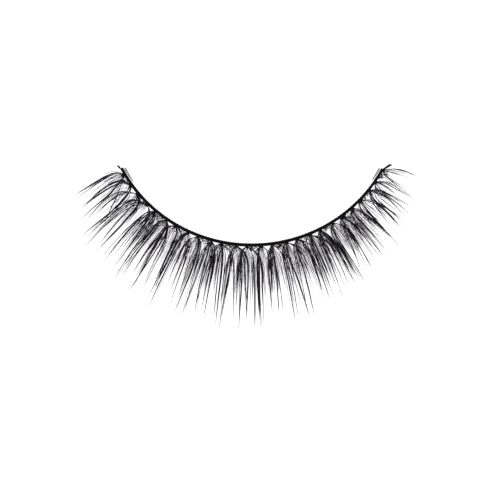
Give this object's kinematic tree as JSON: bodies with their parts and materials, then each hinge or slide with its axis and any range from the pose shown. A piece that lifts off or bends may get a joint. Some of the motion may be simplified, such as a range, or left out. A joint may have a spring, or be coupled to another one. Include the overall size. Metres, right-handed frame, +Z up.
{
  "type": "false eyelash strip",
  "caption": "Crisscross false eyelash strip: a curved thread band with knotted locks of black lashes that fan out and curl down, and clear glue left at its ends.",
  "frame": {"origin": "middle of the bounding box, at the height of the table", "axes": "+X along the strip from its left end, with the longer lashes, to its right end; +Y from the lash tips to the open side of the band; +Z up from the table"},
  "size_m": [0.0358, 0.018, 0.0019],
  "materials": {
    "black_cotton_band": "matte black cotton with a thin glue size",
    "black_lash_fibre": "satin black synthetic lash fibre",
    "clear_dried_glue": "clear, slightly milky dried glue"
  },
  "bodies": {
    "root": {"band_thread": "black_cotton_band", "upper_lock_row": "black_lash_fibre", "lower_lock_row": "black_lash_fibre", "glue_film_left": "clear_dried_glue", "glue_film_right": "clear_dried_glue"}
  },
  "joints": []
}
